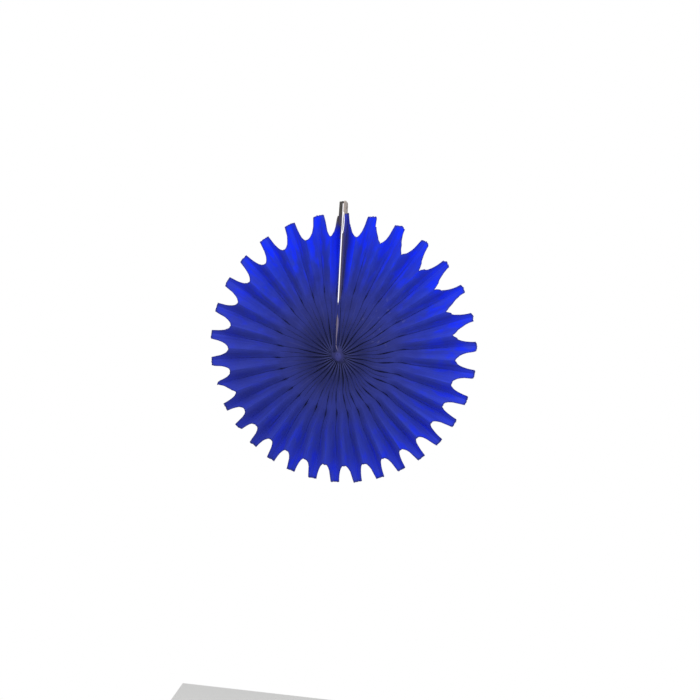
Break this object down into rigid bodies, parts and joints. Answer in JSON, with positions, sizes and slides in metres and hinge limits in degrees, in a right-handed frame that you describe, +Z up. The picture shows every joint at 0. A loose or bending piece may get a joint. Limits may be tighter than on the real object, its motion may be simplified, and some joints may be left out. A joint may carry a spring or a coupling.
{
  "type": "honeycomb tissue paper fan",
  "caption": "Round honeycomb tissue paper fan: pleats spread from a pressed hub to square-tipped teeth at the rim, and chipboard end boards close on each other and hang it up.",
  "frame": {"origin": "middle of the hanging hole through the two end boards", "axes": "+Z up as the fan hangs, -Y out of the front of the fan, +X along the hanging hole to the right as seen from the front"},
  "size_m": [0.3336, 0.0407, 0.3468],
  "materials": {
    "tissue": "dyed tissue, soft and matt",
    "chipboard": "raw grey-brown chipboard",
    "tape": "double-sided paper tape"
  },
  "bodies": {
    "root": {"tissue_pleats": "tissue", "left_end_board": "chipboard", "right_end_board": "chipboard", "adhesive_strip": "tape"}
  },
  "joints": []
}
